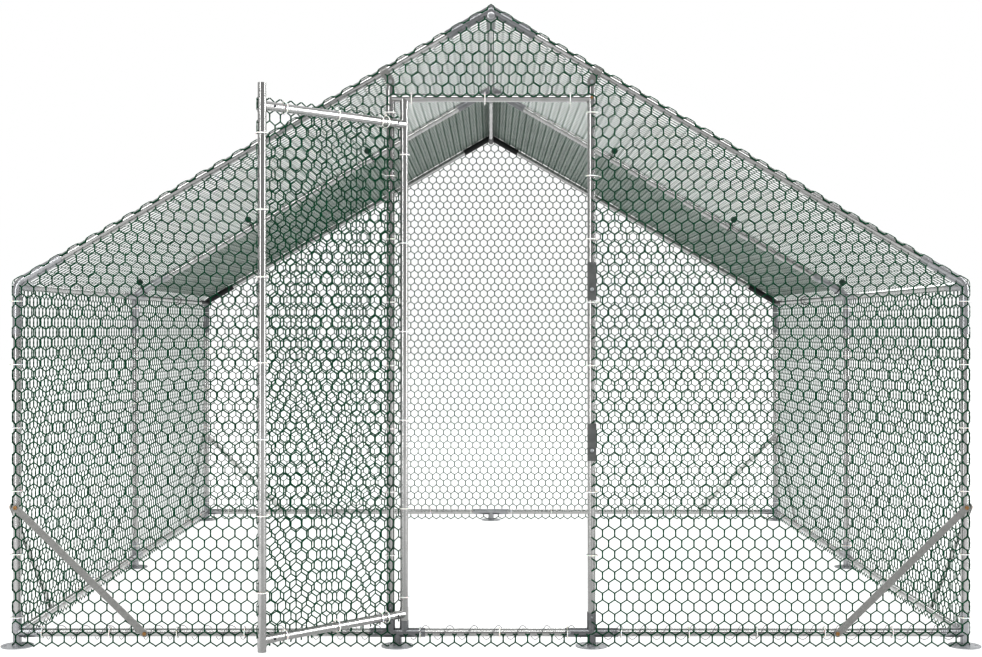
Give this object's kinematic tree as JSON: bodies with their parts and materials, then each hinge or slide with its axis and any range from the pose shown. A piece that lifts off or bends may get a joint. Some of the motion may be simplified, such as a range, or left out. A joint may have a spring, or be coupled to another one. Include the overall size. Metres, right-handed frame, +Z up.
{
  "type": "chicken run",
  "caption": "Walk-in poultry run: gabled tube arches, hexagonal wire netting walls and roof, a hinged door with turn latches and a tied cover on the rear bay.",
  "frame": {"origin": "on the ground, midway between the four corner posts", "axes": "+X to the right seen from the door, +Y from the door end to the rear end, +Z up"},
  "size_m": [3.07, 3.4482, 2.0147],
  "materials": {
    "tube": "hot-dip galvanised tube",
    "connector": "dark grey galvanised sleeve",
    "brace_strip": "galvanised flat strip",
    "clip": "galvanised pressed clip",
    "screws": "yellow zinc plated",
    "bolts": "bright zinc plated",
    "latch_plate": "dark grey coated plate",
    "netting": "dark green coated wire",
    "cover": "coated woven sheet",
    "elastic": "black elastic cord with moulded ball"
  },
  "bodies": {
    "frame": {"front_left_post": "tube", "front_right_post": "tube", "middle_left_post": "tube", "middle_right_post": "tube", "rear_left_post": "tube", "rear_right_post": "tube", "front_left_rafter": "tube", "front_right_rafter": "tube", "middle_left_rafter": "tube", "middle_right_rafter": "tube", "rear_left_rafter": "tube", "rear_right_rafter": "tube", "eave_purlins": "tube", "ridge_purlins": "tube", "side_ground_rails": "tube", "rear_ground_rails": "tube", "front_ground_rails": "tube", "door_sill": "tube", "left_door_post": "tube", "right_door_post": "tube", "lintel": "tube", "front_left_eave_elbow": "connector", "front_right_eave_elbow": "connector", "middle_left_eave_elbow": "connector", "middle_right_eave_elbow": "connector", "rear_left_eave_elbow": "connector", "rear_right_eave_elbow": "connector", "front_apex_joint": "connector", "middle_apex_joint": "connector", "rear_apex_joint": "connector", "front_left_foot": "connector", "front_right_foot": "connector", "rear_left_foot": "connector", "rear_right_foot": "connector", "middle_feet": "connector", "rear_centre_foot": "connector", "hinge_foot": "connector", "latch_foot": "connector", "lintel_hinge_tee": "connector", "lintel_tee": "connector", "post_top_clips": "clip", "corner_braces": "brace_strip", "frame_screws": "screws", "front_left_net": "netting", "front_right_net": "netting", "front_gable_net": "netting", "rear_net": "netting", "left_net": "netting", "right_net": "netting", "left_roof_net": "netting", "right_roof_net": "netting", "roof_cover": "cover", "cover_bungees": "elastic", "latch_bolts": "bolts"},
    "door": {"door_stiles": "tube", "door_rails": "tube", "door_tees": "connector", "door_net": "netting"},
    "upper_latch": {"upper_latch": "latch_plate"},
    "lower_latch": {"lower_latch": "latch_plate"}
  },
  "joints": [
    {"name": "door_swing", "type": "hinge", "parent": "frame", "child": "door", "pos_m": [-0.272, -1.5, 0.885], "axis": [0, 0, 1], "range_deg": [0, 135]},
    {"name": "upper_latch_turn", "type": "hinge", "parent": "frame", "child": "upper_latch", "pos_m": [0.315, -1.52, 1.118], "axis": [0, -1, 0], "range_deg": [0, 90]},
    {"name": "lower_latch_turn", "type": "hinge", "parent": "frame", "child": "lower_latch", "pos_m": [0.315, -1.52, 0.615], "axis": [0, -1, 0], "range_deg": [0, 90]}
  ]
}
